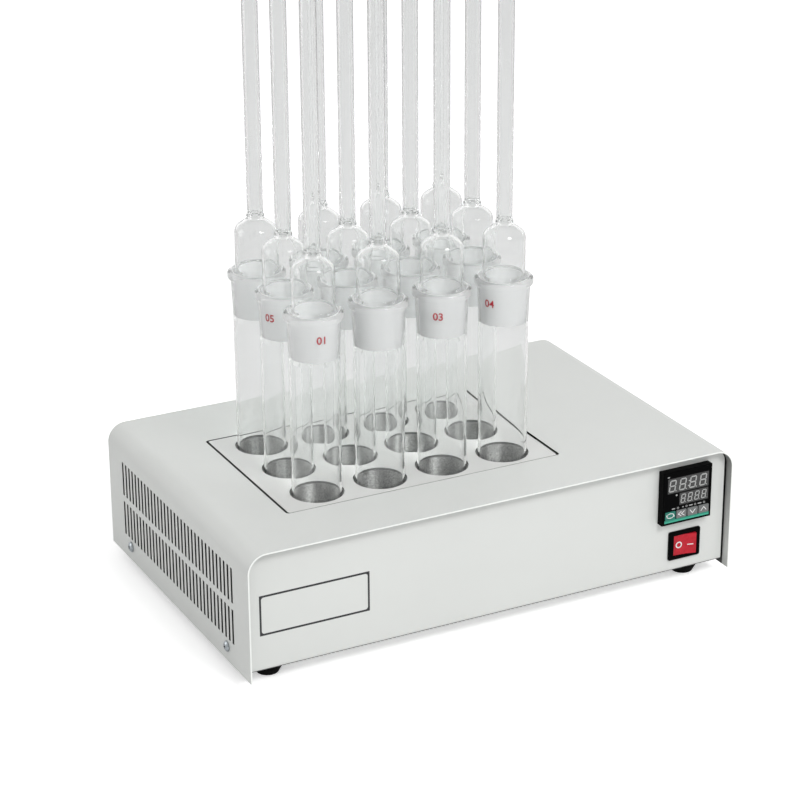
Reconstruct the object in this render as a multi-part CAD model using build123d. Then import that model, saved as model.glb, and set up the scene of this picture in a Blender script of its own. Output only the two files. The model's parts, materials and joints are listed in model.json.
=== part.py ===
from build123d import *
import math
import os

# Chemical oxygen demand reactor: a heating block with twelve wells in a folded sheet case.
# Each well holds a glass reaction tube, and each tube carries an air condenser on a ground joint.
# Millimetres. Z = 0 is the bench, X = 0 and Y = 0 the middle of the case, -Y the front.

# ---- Case: a folded cover over a folded chassis ----
case_width = 445.0
case_depth = 294.0
case_height = 118.0
sheet = 1.2
cover_bend_radius = 16.0
cover_lift = 8.0
floor_lift = 12.0
panel_recess = 8.0
panel_side_gap = 2.0
panel_top_gap = 0.3
panel_corner_radius = 12.0
fold_radius = 3.0
flange_height = 16.0
flange_length = 240.0

# ---- Cooling slots in both sides of the cover ----
slot_width = 3.4
slot_height = 30.6
slot_pitch = 7.15
slots_per_row = 33
slot_rows = 2
slot_row_pitch = 36.4
slot_centre_height = 61.9

# ---- Wells ----
columns = 4
rows = 3
column_pitch = 57.0
row_pitch = 54.0
wells_centre_x = -37.0
wells_centre_y = -7.0
well_diameter = 43.6
well_depth = 66.0
well_bottom_radius = 8.0
well_rim_clearance = 0.4

# ---- Well plate, almost flush in its opening in the cover ----
plate_length = 246.0
plate_width = 162.0
plate_thickness = 2.0
plate_drop = 0.3
plate_end_gap = 2.4
plate_side_gap = 1.2
plate_corner_radius = 2.0

# ---- Heating block, heater, insulation and tray ----
block_length = 240.0
block_width = 168.0
block_height = 74.0
heater_thickness = 8.0
heater_margin = 4.0
terminal_diameter = 5.0
terminal_length = 12.0
terminal_pitch = 40.0
insulation_thickness = 12.0
base_insulation_thickness = 8.0
tray_sheet = 1.0
tray_rim_drop = 12.0
pillar_diameter = 8.0
pillar_inset = 14.0
probe_diameter = 4.8
probe_depth = 40.0
probe_tail = 24.0
probe_collar_diameter = 7.7
probe_collar_length = 8.0
probe_drop = 38.0
probe_clearance = 0.1

# ---- Reaction tube, with the 40/38 ground socket at its mouth ----
joint_large_diameter = 40.0
joint_length = 38.0
joint_taper = 10.0
joint_clearance = 0.1
tube_length = 224.0
tube_wall = 2.4
tube_bottom_radius = 13.0
tube_seat_gap = 0.2
socket_wall = 1.7
socket_foot_radius = 12.0
bead_diameter = 48.6
bead_height = 5.8
bead_edge_radius = 2.0
bead_edge_share = 0.9
mouth_edge_radius = 0.8

# ---- Air condenser: ground cone, bell, shoulder and straight tube ----
condenser_length = 300.0
cone_wall = 2.0
bell_diameter = 35.0
bell_wall = 1.8
bell_height = 40.7
bell_foot = 2.5
bell_foot_radius = 2.0
shoulder_height = 12.0
shoulder_radius = 5.0
neck_radius = 4.0
air_tube_diameter = 13.0
air_tube_wall = 1.4

# ---- Temperature controller in the front panel ----
controller_size = 48.0
controller_proud = 7.6
controller_inset = 44.2
controller_z = 84.4
controller_chamfer = 0.8
controller_body_size = 44.8
controller_body_depth = 72.0
controller_body_corner = 2.0
ledge_width = 36.0
ledge_height = 22.4
ledge_depth = 8.0
controller_rim = 1.8
face_set_back = 0.4
face_thickness = 0.8
cutout_clearance = 0.2
clip_thickness = 5.0
clip_width = 3.0
key_names = ["set_key", "shift_key", "down_key", "up_key"]
key_width = 9.9
key_height = 7.2
key_pitch = 11.0
key_row_height = 8.6
key_clearance = 0.2
key_proud = 0.5
key_travel = 0.4
key_corner_radius = 0.8
key_pocket_depth = 3.0

# ---- Rocker switch below the controller ----
switch_inset = 41.5
switch_z = 36.6
switch_frame_width = 31.0
switch_frame_height = 26.0
switch_frame_thickness = 2.2
switch_frame_corner = 1.5
switch_frame_chamfer = 0.7
switch_body_width = 27.6
switch_body_height = 23.0
switch_body_depth = 17.0
rocker_width = 21.0
rocker_height = 18.4
rocker_end_rise = 2.2
rocker_dip = 1.0
rocker_side = 1.0
rocker_belly = 8.0
rocker_tilt = 9.0
rocker_clearance = 0.3
pivot_depth = 1.6
pivot_diameter = 2.4
pivot_length = 1.2
pivot_clearance = 0.05
tab_width = 6.3
tab_thickness = 0.8
tab_length = 8.0
tab_pitch_x = 14.0
tab_pitch_z = 9.0

# ---- Power inlet in the back panel ----
inlet_inset = 57.5
inlet_z = 62.0
inlet_flange_width = 50.0
inlet_flange_height = 28.0
inlet_flange_thickness = 3.0
inlet_flange_corner = 4.0
inlet_body_width = 28.0
inlet_body_height = 20.5
inlet_body_depth = 20.0
inlet_mouth_width = 24.6
inlet_mouth_height = 16.6
inlet_mouth_corner = 5.0
inlet_mouth_depth = 16.0
inlet_pin_width = 4.0
inlet_pin_thickness = 2.0
inlet_pin_pitch = 7.0
inlet_pin_offset = 2.0
inlet_pin_set_back = 5.0
inlet_screw_pitch = 40.0

# ---- Relay on its heat sink, and the terminal block, on the chassis floor ----
sink_inset = 62.5
sink_y = 45.0
sink_length = 80.0
sink_width = 50.0
sink_base = 5.0
fin_height = 17.0
fin_thickness = 2.0
fin_count = 7
relay_length = 58.0
relay_width = 44.0
relay_height = 23.0
relay_corner_radius = 3.0
terminal_block_inset = 84.5
terminal_block_y = -35.0
terminal_poles = 5
pole_pitch = 10.0
pole_wall = 1.6
terminal_block_width = 20.0
terminal_block_height = 14.0
terminal_shelf_height = 8.0
terminal_screw_diameter = 6.0
terminal_screw_height = 2.4

# ---- Feet and small screws ----
foot_side_inset = 27.5
foot_end_inset = 30.0
foot_top_diameter = 26.0
foot_belly_diameter = 24.0
foot_bottom_diameter = 18.0
foot_belly_height = 5.6
foot_shoulder_height = 10.5
foot_recess_diameter = 11.0
foot_recess_depth = 8.0
foot_bore_diameter = 4.4
screw_diameter = 4.0
screw_head_diameter = 9.0
screw_head_height = 2.6
screw_length = 9.0
head_rim_share = 0.45
head_top_share = 0.6
nut_width = 7.0
nut_height = 3.0
screw_clearance = 0.1
cover_screw_pitch = 204.0
cover_screw_height = 21.2
small_screw_diameter = 3.0
small_screw_head_diameter = 5.6
small_screw_head_height = 2.0
small_screw_length = 7.0

# ---- Heights and places that follow from these ----
cover_inside_width = case_width - 2 * sheet
panel_width = cover_inside_width - 2 * panel_side_gap
panel_top = case_height - sheet - panel_top_gap
floor_top = floor_lift + sheet
front_face_y = -case_depth / 2 + panel_recess
back_face_y = case_depth / 2 - panel_recess
plate_top = case_height - plate_drop
block_top = plate_top - plate_thickness
block_bottom = block_top - block_height
heater_bottom = block_bottom - heater_thickness
base_insulation_bottom = heater_bottom - base_insulation_thickness
tray_bottom = base_insulation_bottom - tray_sheet
tray_top = block_top - tray_rim_drop
jacket_length = block_length + 2 * insulation_thickness
jacket_width = block_width + 2 * insulation_thickness
tray_length = jacket_length + 2 * tray_sheet
tray_width = jacket_width + 2 * tray_sheet
tube_bottom = block_top - well_depth + tube_seat_gap
tube_mouth = tube_bottom + tube_length
socket_bottom = tube_mouth - joint_length
joint_small_diameter = joint_large_diameter - joint_length / joint_taper
tube_bore_radius = joint_small_diameter / 2
tube_radius = tube_bore_radius + tube_wall
probe_height = block_top - probe_drop
probe_y = wells_centre_y + row_pitch / 2
controller_front_y = front_face_y - controller_proud
face_front_y = controller_front_y + face_set_back
controller_x = case_width / 2 - controller_inset
switch_front_y = front_face_y - switch_frame_thickness
switch_x = case_width / 2 - switch_inset
inlet_x = case_width / 2 - inlet_inset
sink_x = case_width / 2 - sink_inset
terminal_block_x = case_width / 2 - terminal_block_inset
foot_x = case_width / 2 - foot_side_inset
foot_y = case_depth / 2 - foot_end_inset
pivot_y = switch_front_y + pivot_depth

BOTTOM = (Align.CENTER, Align.CENTER, Align.MIN)
TOP = (Align.CENTER, Align.CENTER, Align.MAX)
FROM_FRONT = (Align.CENTER, Align.MIN, Align.CENTER)
FROM_BACK = (Align.CENTER, Align.MAX, Align.CENTER)


def save(name, shape):
    """Write one named piece, with its solids, to its own file."""
    solids = shape.solids()
    piece = solids[0] if len(solids) == 1 else Compound(children=list(solids))
    piece.label = name
    export_step(piece, f"parts/{name}.step")


def arch(width, height, corner):
    """Outline that stands on Y = 0 with both upper corners rounded."""
    outline = Rectangle(width, height, align=(Align.CENTER, Align.MIN))
    upper = outline.vertices().sort_by(Axis.Y)[-2:]
    return fillet(upper, corner)


def turned(profile):
    """Solid of revolution about Z. Each corner has a radius and a height, and may have a rounding."""
    outline = make_face(Polyline(*[corner[:2] for corner in profile], close=True))
    for radius, height, rounding in [corner for corner in profile if len(corner) == 3]:
        sharp = outline.vertices().sort_by_distance((radius, height, 0))[0]
        outline = fillet(sharp, rounding)
    return revolve(Plane.XZ * outline, axis=Axis.Z)


def well_places():
    """Axes of the wells, row by row from the front left."""
    first_x = wells_centre_x - column_pitch * (columns - 1) / 2
    first_y = wells_centre_y - row_pitch * (rows - 1) / 2
    places = []
    for row in range(rows):
        for column in range(columns):
            places.append((first_x + column * column_pitch, first_y + row * row_pitch))
    return places


def rounded_box(length, width, height, corner):
    """Upright plate with rounded vertical edges, standing on Z = 0."""
    return extrude(RectangleRounded(length, width, corner), amount=height)


def pan_screw(diameter, head_diameter, head_height, length):
    """Pan-head screw along -Y: the head is in front of Y = 0, the shank behind it."""
    head_radius = head_diameter / 2
    profile = [
        (0, -length),
        (diameter / 2, -length),
        (diameter / 2, 0),
        (head_radius, 0),
        (head_radius, head_height * head_rim_share),
        (head_radius * head_top_share, head_height),
        (0, head_height),
    ]
    return Rot(90, 0, 0) * turned(profile)


# ---- Case ----

def cover_screw_places():
    """Place along the depth, and height, of the screws in each side of the cover."""
    return [(-cover_screw_pitch / 2, cover_screw_height), (cover_screw_pitch / 2, cover_screw_height)]


def make_cover():
    """Sheet folded over the top and both sides, open at the front, back and bottom."""
    side_height = case_height - cover_lift
    outside = arch(case_width, side_height, cover_bend_radius)
    inside = arch(cover_inside_width, side_height - sheet, cover_bend_radius - sheet)
    folded = Pos(0, 0, cover_lift) * extrude(Plane.XZ * (outside - inside), case_depth / 2, both=True)
    opening = rounded_box(
        plate_length + 2 * plate_end_gap,
        plate_width + 2 * plate_side_gap,
        case_height,
        plate_corner_radius + plate_side_gap,
    )
    folded -= Pos(wells_centre_x, wells_centre_y, case_height / 2) * opening
    slot_grid = GridLocations(slot_pitch, slot_row_pitch, slots_per_row, slot_rows)
    slots = Sketch() + slot_grid * Rectangle(slot_width, slot_height)
    slots = Plane.YZ * Pos(0, slot_centre_height) * slots
    folded -= extrude(slots, case_width, both=True)
    for y, z in cover_screw_places():
        hole = Cylinder(screw_diameter / 2 + screw_clearance, 2 * case_width, rotation=(0, 90, 0))
        folded -= Pos(0, y, z) * hole
    return folded


def make_chassis():
    """Sheet folded into front panel, floor and back panel, with two low side flanges."""
    depth = back_face_y - front_face_y
    height = panel_top - floor_lift
    outside = Rectangle(depth, height, align=(Align.CENTER, Align.MIN))
    outside = fillet(outside.vertices().sort_by(Axis.Y)[:2], fold_radius + sheet)
    inside = Pos(0, sheet) * Rectangle(depth - 2 * sheet, height, align=(Align.CENTER, Align.MIN))
    inside = fillet(inside.vertices().sort_by(Axis.Y)[:2], fold_radius)
    folded = extrude(Plane.YZ * (outside - inside), panel_width / 2, both=True)
    folded &= extrude(Plane.XZ * arch(panel_width, height, panel_corner_radius), depth, both=True)

    tray = Rectangle(cover_inside_width, flange_height, align=(Align.CENTER, Align.MIN))
    tray = fillet(tray.vertices().sort_by(Axis.Y)[:2], fold_radius)
    hollow = Pos(0, sheet) * Rectangle(
        cover_inside_width - 2 * sheet, flange_height, align=(Align.CENTER, Align.MIN)
    )
    hollow = fillet(hollow.vertices().sort_by(Axis.Y)[:2], fold_radius - sheet)
    folded += extrude(Plane.XZ * (tray - hollow), flange_length / 2, both=True)
    folded = Pos(0, 0, floor_lift) * folded

    body_hole = controller_body_size + 2 * cutout_clearance
    folded -= Pos(controller_x, front_face_y, controller_z) * Box(body_hole, 6 * sheet, body_hole)
    folded -= Pos(switch_x, front_face_y, switch_z) * Box(
        switch_body_width + 2 * cutout_clearance,
        6 * sheet,
        switch_body_height + 2 * cutout_clearance,
    )
    folded -= Pos(inlet_x, back_face_y, inlet_z) * Box(
        inlet_body_width + 2 * cutout_clearance,
        6 * sheet,
        inlet_body_height + 2 * cutout_clearance,
    )
    screw_hole = Cylinder(small_screw_diameter / 2 + screw_clearance, 6 * sheet, rotation=(90, 0, 0))
    for side in (-1, 1):
        folded -= Pos(inlet_x + side * inlet_screw_pitch / 2, back_face_y, inlet_z) * screw_hole
    side_hole = Cylinder(screw_diameter / 2 + screw_clearance, 2 * case_width, rotation=(0, 90, 0))
    for y, z in cover_screw_places():
        folded -= Pos(0, y, z) * side_hole
    for x, y in foot_places():
        folded -= Pos(x, y, floor_top) * Cylinder(screw_diameter / 2 + screw_clearance, 4 * sheet)
    return folded


def make_cover_screws():
    """Two pan-head screws in each side of the cover."""
    screw = pan_screw(screw_diameter, screw_head_diameter, screw_head_height, screw_length)
    screws = []
    for side, turn in ((-1, -90), (1, 90)):
        for y, z in cover_screw_places():
            screws.append(Pos(side * case_width / 2, y, z) * Rot(0, 0, turn) * screw)
    return Compound(children=screws)


# ---- Feet ----

def foot_places():
    """Front left, front right, back left and back right."""
    return [(-foot_x, -foot_y), (foot_x, -foot_y), (-foot_x, foot_y), (foot_x, foot_y)]


def make_foot():
    """Rubber foot that narrows downwards, with a recess for its screw head."""
    profile = [
        (foot_bore_diameter / 2, floor_lift),
        (foot_bore_diameter / 2, foot_recess_depth),
        (foot_recess_diameter / 2, foot_recess_depth),
        (foot_recess_diameter / 2, 0),
        (foot_bottom_diameter / 2, 0),
        (foot_belly_diameter / 2, foot_belly_height),
        (foot_top_diameter / 2, foot_shoulder_height),
        (foot_top_diameter / 2, floor_lift),
    ]
    return turned(profile)


def make_foot_screws():
    """One screw up through each foot and the floor, with its nut."""
    length = floor_top - foot_recess_depth + nut_height
    screw = Rot(90, 0, 0) * pan_screw(screw_diameter, screw_head_diameter, screw_head_height, length)
    nut = extrude(RegularPolygon(nut_width / 2, 6, major_radius=False), nut_height)
    nut -= Cylinder(screw_diameter / 2, 4 * nut_height)
    pieces = []
    for x, y in foot_places():
        pieces.append(Pos(x, y, foot_recess_depth) * screw)
        pieces.append(Pos(x, y, floor_top) * nut)
    return Compound(children=pieces)


# ---- Heating block and what holds it ----

def make_well_plate():
    """Plate with one hole over each well."""
    plate = rounded_box(plate_length, plate_width, plate_thickness, plate_corner_radius)
    plate = Pos(wells_centre_x, wells_centre_y, block_top) * plate
    for x, y in well_places():
        hole = Cylinder(well_diameter / 2 + well_rim_clearance, 4 * plate_thickness)
        plate -= Pos(x, y, block_top) * hole
    return plate


def make_heating_block():
    """Aluminium block bored with the wells, their bottoms rounded off, and a side hole for the probe."""
    block = Box(block_length, block_width, block_height, align=TOP)
    block = Pos(wells_centre_x, wells_centre_y, block_top) * block
    radius = well_diameter / 2
    well = turned([
        (0, 0),
        (radius - well_bottom_radius, 0),
        (radius, well_bottom_radius),
        (radius, well_depth + 1),
        (0, well_depth + 1),
    ])
    for x, y in well_places():
        block -= Pos(x, y, block_top - well_depth) * well
    block -= probe_hole(probe_depth + probe_clearance)
    return block


def probe_hole(depth, tail=0.0):
    """Horizontal round hole from the right face of the block."""
    face_x = wells_centre_x + block_length / 2
    hole = Cylinder(probe_diameter / 2 + probe_clearance, depth + tail, rotation=(0, 90, 0))
    return Pos(face_x + (tail - depth) / 2, probe_y, probe_height) * hole


def make_temperature_probe():
    """Sheathed probe in the side of the block, with a collar outside the tray."""
    face_x = wells_centre_x + block_length / 2
    outside = insulation_thickness + tray_sheet
    sheath_length = probe_depth + outside + probe_tail
    sheath = Cylinder(probe_diameter / 2, sheath_length, rotation=(0, 90, 0))
    collar = Cylinder(probe_collar_diameter / 2, probe_collar_length, rotation=(0, 90, 0))
    probe = Pos(face_x - probe_depth + sheath_length / 2, probe_y, probe_height) * sheath
    probe += Pos(face_x + outside + probe_collar_length / 2, probe_y, probe_height) * collar
    return probe


def make_heater_plate():
    """Flat heater clamped under the block."""
    heater = Box(
        block_length - 2 * heater_margin,
        block_width - 2 * heater_margin,
        heater_thickness,
        align=BOTTOM,
    )
    return Pos(wells_centre_x, wells_centre_y, heater_bottom) * heater


def heater_end_x():
    """Right end face of the heater."""
    return wells_centre_x + block_length / 2 - heater_margin


def terminal_stud_length():
    """From the heater's end to beyond the tray."""
    return heater_margin + insulation_thickness + tray_sheet + terminal_length


def make_heater_terminals():
    """Two studs that leave the right end of the heater through the tray."""
    length = terminal_stud_length()
    stud = Cylinder(terminal_diameter / 2, length, rotation=(0, 90, 0))
    studs = []
    for side in (-1, 1):
        y = wells_centre_y + side * terminal_pitch / 2
        z = heater_bottom + heater_thickness / 2
        studs.append(Pos(heater_end_x() + length / 2, y, z) * stud)
    return Compound(children=studs)


def side_passages():
    """Clearance holes for the probe and the two heater studs."""
    passages = [probe_hole(0, 4 * insulation_thickness)]
    stud = Cylinder(terminal_diameter / 2 + probe_clearance, 4 * insulation_thickness, rotation=(0, 90, 0))
    for side in (-1, 1):
        y = wells_centre_y + side * terminal_pitch / 2
        z = heater_bottom + heater_thickness / 2
        passages.append(Pos(heater_end_x() + 2 * insulation_thickness, y, z) * stud)
    return passages


def make_insulation_jacket():
    """Fibre board around the four sides of the block and heater."""
    height = tray_top - heater_bottom
    jacket = Box(jacket_length, jacket_width, height, align=BOTTOM)
    jacket -= Box(block_length, block_width, 3 * height)
    jacket = Pos(wells_centre_x, wells_centre_y, heater_bottom) * jacket
    for passage in side_passages():
        jacket -= passage
    return jacket


def make_insulation_base():
    """Fibre board under the heater."""
    board = Box(jacket_length, jacket_width, base_insulation_thickness, align=BOTTOM)
    return Pos(wells_centre_x, wells_centre_y, base_insulation_bottom) * board


def make_inner_tray():
    """Open sheet tray that holds the insulation, heater and block."""
    height = tray_top - tray_bottom
    tray = Box(tray_length, tray_width, height, align=BOTTOM)
    tray -= Pos(0, 0, tray_sheet) * Box(jacket_length, jacket_width, height, align=BOTTOM)
    tray = Pos(wells_centre_x, wells_centre_y, tray_bottom) * tray
    for passage in side_passages():
        tray -= passage
    return tray


def make_tray_pillars():
    """Four pillars between the chassis floor and the tray."""
    height = tray_bottom - floor_top
    pillar = Cylinder(pillar_diameter / 2, height, align=BOTTOM)
    spots = GridLocations(tray_length - 2 * pillar_inset, tray_width - 2 * pillar_inset, 2, 2)
    pillars = [Pos(wells_centre_x, wells_centre_y, floor_top) * spot * pillar for spot in spots]
    return Compound(children=pillars)


# ---- Glassware ----

def make_reaction_tube():
    """Tube with a rounded bottom, a beaded mouth and a tapered ground socket, on the Z axis."""
    mouth_radius = joint_large_diameter / 2
    socket_radius = mouth_radius + socket_wall
    bead_radius = bead_diameter / 2
    bead_bottom = tube_length - bead_height
    bead_rounding = min(bead_edge_radius, (bead_radius - socket_radius) * bead_edge_share)
    return turned([
        (0, 0),
        (tube_radius, 0, tube_bottom_radius),
        (tube_radius, tube_length - joint_length, socket_foot_radius),
        (socket_radius, bead_bottom),
        (bead_radius, bead_bottom, bead_rounding),
        (bead_radius, tube_length, bead_rounding),
        (mouth_radius, tube_length, mouth_edge_radius),
        (tube_bore_radius, tube_length - joint_length),
        (tube_bore_radius, tube_wall, tube_bottom_radius - tube_wall),
        (0, tube_wall),
    ])


def make_condenser():
    """Ground cone, bell, rounded shoulder and straight air tube, on the Z axis from the cone's lower end."""
    cone_small = tube_bore_radius - joint_clearance
    cone_large = joint_large_diameter / 2 - joint_clearance
    bell_radius = bell_diameter / 2
    bell_bore = bell_radius - bell_wall
    air_radius = air_tube_diameter / 2
    air_bore = air_radius - air_tube_wall
    bell_top = joint_length + bell_height
    shoulder_top = bell_top + shoulder_height
    wall_drop = bell_wall / 2
    return turned([
        (cone_small - cone_wall, 0),
        (cone_small, 0),
        (cone_large, joint_length),
        (bell_radius, joint_length + bell_foot, bell_foot_radius),
        (bell_radius, bell_top, shoulder_radius),
        (air_radius, shoulder_top, neck_radius),
        (air_radius, condenser_length),
        (air_bore, condenser_length),
        (air_bore, shoulder_top - wall_drop, neck_radius + air_tube_wall),
        (bell_bore, bell_top - wall_drop, shoulder_radius - bell_wall),
        (bell_bore, joint_length),
    ])


# ---- Temperature controller ----

def key_places():
    """Middle of each key across the controller, from the left."""
    count = len(key_names)
    first = controller_x - key_pitch * (count - 1) / 2
    return [first + number * key_pitch for number in range(count)]


def key_height_above_bench():
    """Middle height of the row of keys."""
    return controller_z - controller_size / 2 + key_row_height


def make_controller_bezel():
    """Square front frame, chamfered at its edge, with a shallow seat for the face and four key pockets."""
    bezel = Box(controller_size, controller_proud, controller_size, align=FROM_FRONT)
    bezel = chamfer(bezel.faces().sort_by(Axis.Y)[0].edges(), controller_chamfer)
    seat = controller_size - 2 * controller_rim
    seat_depth = face_set_back + face_thickness
    bezel -= Box(seat, seat_depth, seat, align=FROM_FRONT)
    bezel = Pos(controller_x, controller_front_y, controller_z) * bezel
    for x in key_places():
        pocket = Box(
            key_width + 2 * key_clearance,
            key_pocket_depth,
            key_height + 2 * key_clearance,
            align=FROM_FRONT,
        )
        bezel -= Pos(x, face_front_y + face_thickness, key_height_above_bench()) * pocket
    return bezel


def make_controller_face():
    """Flat face with a window for each key."""
    side = controller_size - 2 * controller_rim
    face = Pos(controller_x, face_front_y, controller_z) * Box(side, face_thickness, side, align=FROM_FRONT)
    for x in key_places():
        window = Box(
            key_width + 2 * key_clearance,
            4 * face_thickness,
            key_height + 2 * key_clearance,
        )
        face -= Pos(x, face_front_y, key_height_above_bench()) * window
    return face


def make_key(x):
    """Key that stands a little proud of the face and can travel into its pocket."""
    depth = key_proud + face_thickness + key_pocket_depth - key_travel - key_clearance
    key = Box(key_width, depth, key_height, align=FROM_FRONT)
    key = fillet(key.edges().filter_by(Axis.Y), key_corner_radius)
    return Pos(x, face_front_y - key_proud, key_height_above_bench()) * key


def make_controller_housing():
    """Square housing behind the panel, with a rear terminal ledge."""
    housing = Box(controller_body_size, controller_body_depth, controller_body_size, align=FROM_FRONT)
    housing = fillet(housing.edges().filter_by(Axis.Y), controller_body_corner)
    ledge = Box(ledge_width, ledge_depth, ledge_height, align=FROM_BACK)
    housing -= Pos(0, controller_body_depth, 0) * ledge
    return Pos(controller_x, front_face_y, controller_z) * housing


def make_controller_clip():
    """Square clip around the housing that clamps it from behind the panel."""
    opening = controller_body_size + 2 * cutout_clearance
    clip = Box(opening + 2 * clip_width, clip_thickness, opening + 2 * clip_width, align=FROM_FRONT)
    clip -= Box(opening, 4 * clip_thickness, opening)
    return Pos(controller_x, front_face_y + sheet, controller_z) * clip


# ---- Rocker switch ----

def rocker_swing_radius():
    """Furthest reach of the rocker's ends from its pivot."""
    return math.hypot(rocker_width / 2, rocker_end_rise)


def make_switch_frame():
    """Snap-in frame and body with the hollow that the rocker swings in."""
    frame = Box(switch_frame_width, switch_frame_thickness, switch_frame_height, align=FROM_FRONT)
    frame = fillet(frame.edges().filter_by(Axis.Y), switch_frame_corner)
    frame = chamfer(frame.faces().sort_by(Axis.Y)[0].edges(), switch_frame_chamfer)
    frame += Pos(0, switch_frame_thickness, 0) * Box(
        switch_body_width, switch_body_depth, switch_body_height, align=FROM_FRONT
    )
    hollow_depth = pivot_depth + rocker_belly + 2 * rocker_clearance
    frame -= Box(
        2 * (rocker_swing_radius() + rocker_clearance),
        hollow_depth,
        rocker_height + 2 * rocker_clearance,
        align=FROM_FRONT,
    )
    pivot_span = rocker_height + 2 * (rocker_clearance + pivot_length)
    frame -= Pos(0, pivot_depth, 0) * Cylinder(pivot_diameter / 2 + pivot_clearance, pivot_span)
    return Pos(switch_x, switch_front_y, switch_z) * frame


def make_switch_rocker():
    """Rocker with a shallow V front, tipped about its upright pivot with its left half pressed in."""
    half = rocker_width / 2
    outline = Polyline(
        (-half, rocker_side),
        (-half, -rocker_end_rise),
        (0, rocker_dip - rocker_end_rise),
        (half, -rocker_end_rise),
        (half, rocker_side),
    )
    belly = ThreePointArc((half, rocker_side), (0, rocker_belly), (-half, rocker_side))
    body = extrude(make_face([outline, belly]), rocker_height / 2, both=True)
    body += Cylinder(pivot_diameter / 2, rocker_height + 2 * pivot_length)
    return Pos(switch_x, pivot_y, switch_z) * Rot(0, 0, -rocker_tilt) * body


def make_switch_terminals():
    """Four flat tabs at the back of the switch."""
    tab = Box(tab_thickness, tab_length, tab_width, align=FROM_FRONT)
    back_y = front_face_y + switch_body_depth
    spots = GridLocations(tab_pitch_x, tab_pitch_z, 2, 2)
    tabs = []
    for spot in spots:
        x = switch_x + spot.position.X
        z = switch_z + spot.position.Y
        tabs.append(Pos(x, back_y, z) * tab)
    return Compound(children=tabs)


# ---- Power inlet ----

def make_power_inlet():
    """Flanged appliance inlet, its mouth open to the back."""
    flange = Box(inlet_flange_width, inlet_flange_thickness, inlet_flange_height, align=FROM_FRONT)
    flange = fillet(flange.edges().filter_by(Axis.Y), inlet_flange_corner)
    inlet = flange + Box(inlet_body_width, inlet_body_depth, inlet_body_height, align=FROM_BACK)
    mouth = Rectangle(inlet_mouth_width, inlet_mouth_height)
    mouth = chamfer(mouth.vertices().sort_by(Axis.Y)[-2:], inlet_mouth_corner)
    mouth = extrude(Plane.XZ * mouth, inlet_mouth_depth)
    inlet -= Pos(0, inlet_flange_thickness, 0) * mouth
    screw_hole = Cylinder(
        small_screw_diameter / 2 + screw_clearance, 4 * inlet_flange_thickness, rotation=(90, 0, 0)
    )
    for side in (-1, 1):
        inlet -= Pos(side * inlet_screw_pitch / 2, 0, 0) * screw_hole
    return Pos(inlet_x, back_face_y, inlet_z) * inlet


def make_inlet_pins():
    """Three flat pins that stand in the mouth of the inlet."""
    length = inlet_mouth_depth - inlet_pin_set_back
    pin = Box(inlet_pin_thickness, length, inlet_pin_width, align=FROM_FRONT)
    mouth_floor_y = back_face_y + inlet_flange_thickness - inlet_mouth_depth
    pins = []
    for number in (-1, 0, 1):
        lift = inlet_pin_offset if number == 0 else -inlet_pin_offset
        pins.append(Pos(inlet_x + number * inlet_pin_pitch, mouth_floor_y, inlet_z + lift) * pin)
    return Compound(children=pins)


def make_inlet_screws():
    """Two small screws through the inlet's flange."""
    screw = pan_screw(
        small_screw_diameter, small_screw_head_diameter, small_screw_head_height, small_screw_length
    )
    screws = []
    for side in (-1, 1):
        x = inlet_x + side * inlet_screw_pitch / 2
        screws.append(Pos(x, back_face_y + inlet_flange_thickness, inlet_z) * Rot(0, 0, 180) * screw)
    return Compound(children=screws)


# ---- Relay, heat sink and terminal block ----

def make_relay_heat_sink():
    """Extruded heat sink standing on its fins, base uppermost."""
    sink = Pos(0, 0, fin_height) * Box(sink_length, sink_width, sink_base, align=BOTTOM)
    fin_pitch = (sink_width - fin_thickness) / (fin_count - 1)
    for spot in GridLocations(1, fin_pitch, 1, fin_count):
        sink += spot * Box(sink_length, fin_thickness, fin_height, align=BOTTOM)
    return Pos(sink_x, sink_y, floor_top) * sink


def make_relay():
    """Solid-state relay on the heat sink."""
    relay = rounded_box(relay_length, relay_width, relay_height, relay_corner_radius)
    return Pos(sink_x, sink_y, floor_top + fin_height + sink_base) * relay


def pole_places():
    """Middle of each pole of the terminal block."""
    first = terminal_block_y - pole_pitch * (terminal_poles - 1) / 2
    return [first + number * pole_pitch for number in range(terminal_poles)]


def make_terminal_block():
    """Barrier block with a low shelf between its walls for each pole."""
    length = terminal_poles * pole_pitch + pole_wall
    body = Box(terminal_block_width, length, terminal_block_height, align=BOTTOM)
    body = Pos(terminal_block_x, terminal_block_y, 0) * body
    for y in pole_places():
        bay = Box(2 * terminal_block_width, pole_pitch - pole_wall, terminal_block_height, align=BOTTOM)
        body -= Pos(terminal_block_x, y, terminal_shelf_height) * bay
    return Pos(0, 0, floor_top) * body


def make_terminal_screws():
    """Two clamping screws on each pole."""
    screw = Cylinder(terminal_screw_diameter / 2, terminal_screw_height, align=BOTTOM)
    screws = []
    for y in pole_places():
        for side in (-1, 1):
            x = terminal_block_x + side * terminal_block_width / 4
            screws.append(Pos(x, y, floor_top + terminal_shelf_height) * screw)
    return Compound(children=screws)


# ---- Write every piece ----

os.makedirs("parts", exist_ok=True)

save("cover", make_cover())
save("chassis", make_chassis())
save("cover_screws", make_cover_screws())

foot = make_foot()
foot_names = ["foot_front_left", "foot_front_right", "foot_back_left", "foot_back_right"]
for name, (x, y) in zip(foot_names, foot_places()):
    save(name, Pos(x, y, 0) * foot)
save("foot_screws", make_foot_screws())

save("well_plate", make_well_plate())
save("heating_block", make_heating_block())
save("heater_plate", make_heater_plate())
save("heater_terminals", make_heater_terminals())
save("temperature_probe", make_temperature_probe())
save("insulation_jacket", make_insulation_jacket())
save("insulation_base", make_insulation_base())
save("inner_tray", make_inner_tray())
save("tray_pillars", make_tray_pillars())

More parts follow.
